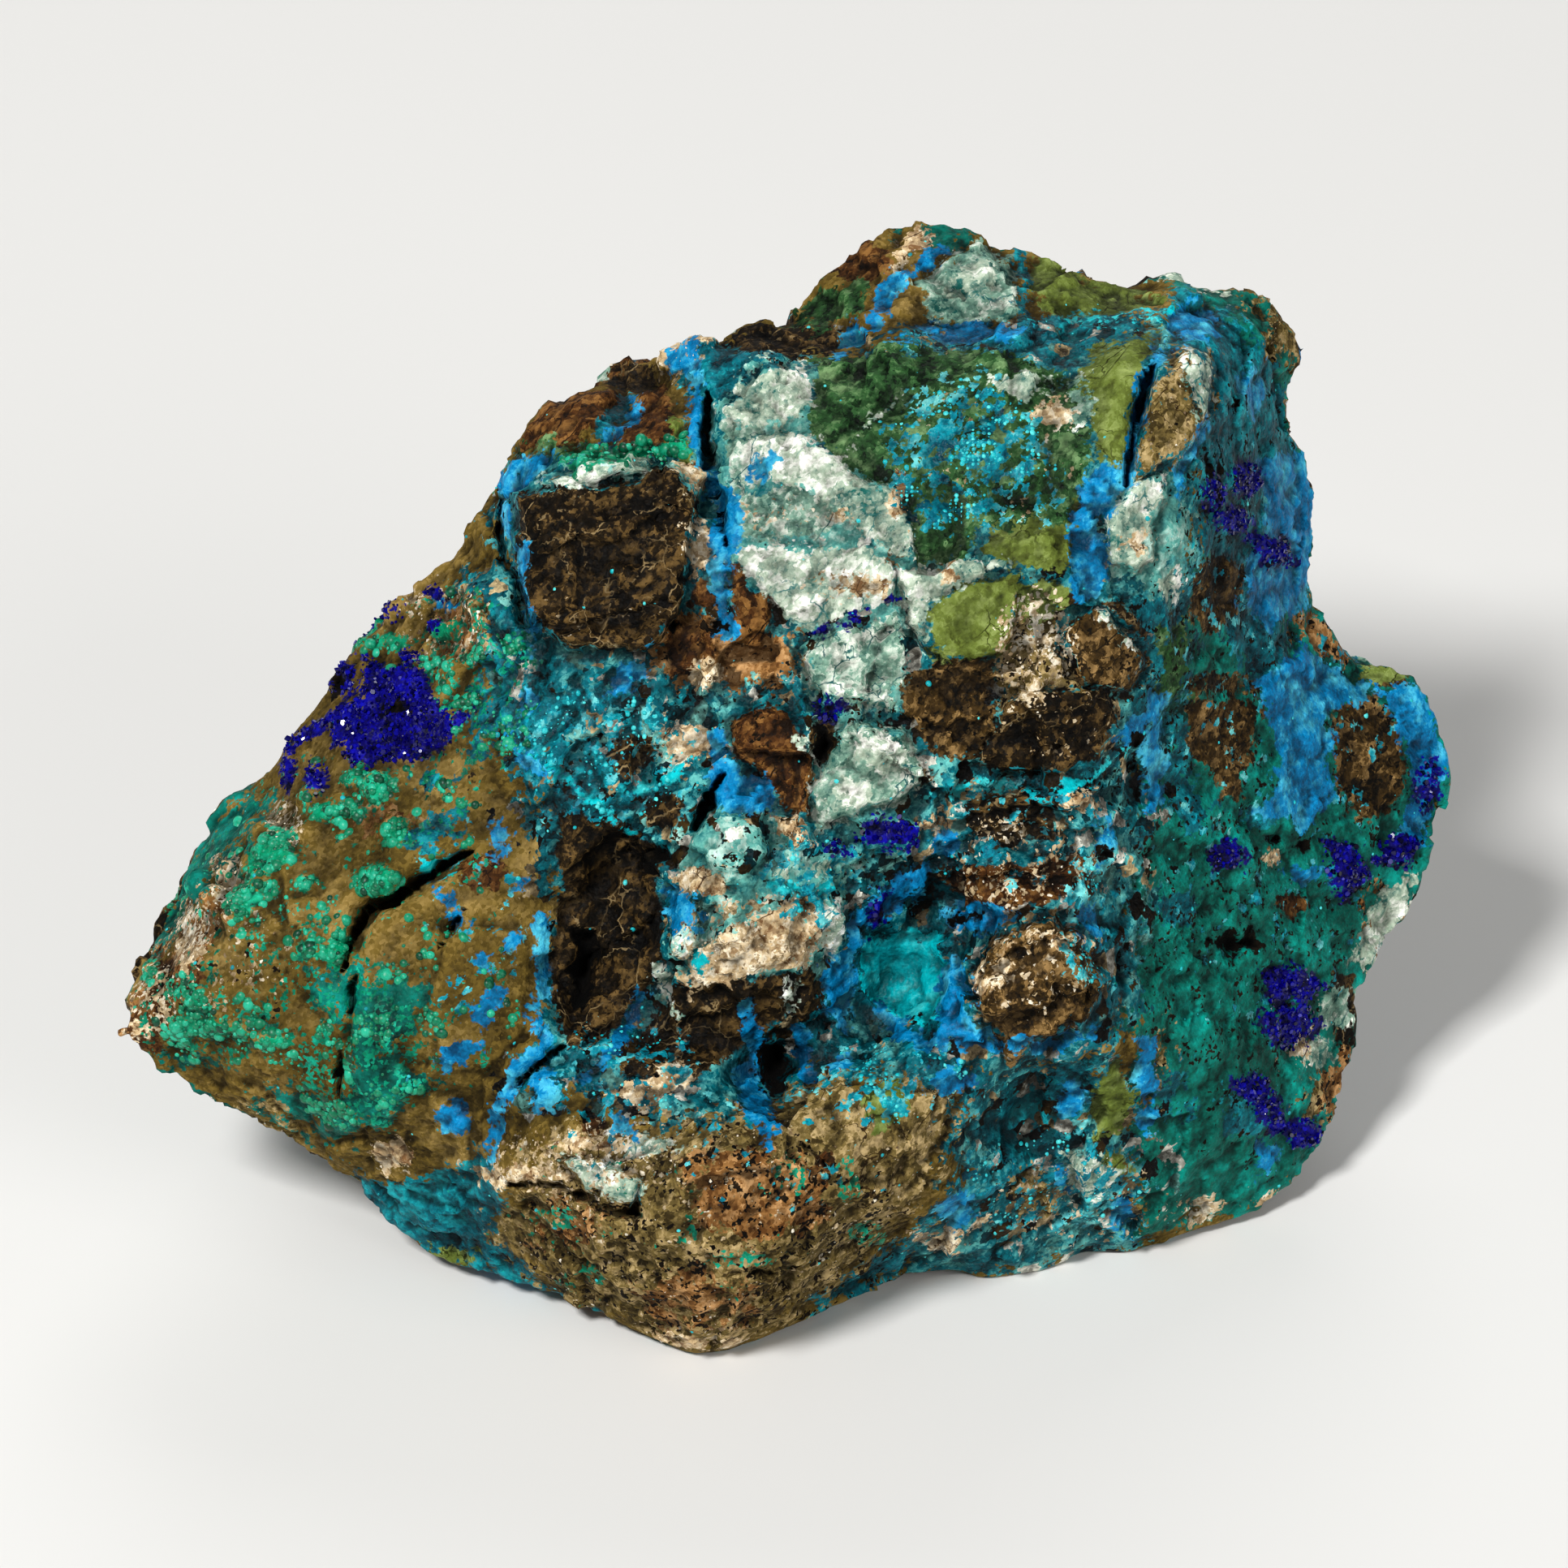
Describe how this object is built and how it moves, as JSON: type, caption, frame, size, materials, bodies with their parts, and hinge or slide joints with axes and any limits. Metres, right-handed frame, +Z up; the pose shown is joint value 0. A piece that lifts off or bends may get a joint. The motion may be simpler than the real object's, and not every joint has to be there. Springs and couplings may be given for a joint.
{
  "type": "chrysocolla and malachite specimen",
  "caption": "Rough mineral hand specimen: a brown breccia with blue-green chrysocolla, green malachite beads, azurite crystals and white quartz, resting on a flat under it.",
  "frame": {"origin": "on the ground under the middle of the specimen's bounding box", "axes": "+Z up, -Y towards the viewer of the show face, +X to that viewer's right, along the specimen's width"},
  "size_m": [0.0673, 0.0463, 0.0438],
  "materials": {
    "stone": "rough broken stone with teal, blue, green, white and brown minerals"
  },
  "bodies": {
    "root": {"stone": "stone"}
  },
  "joints": []
}
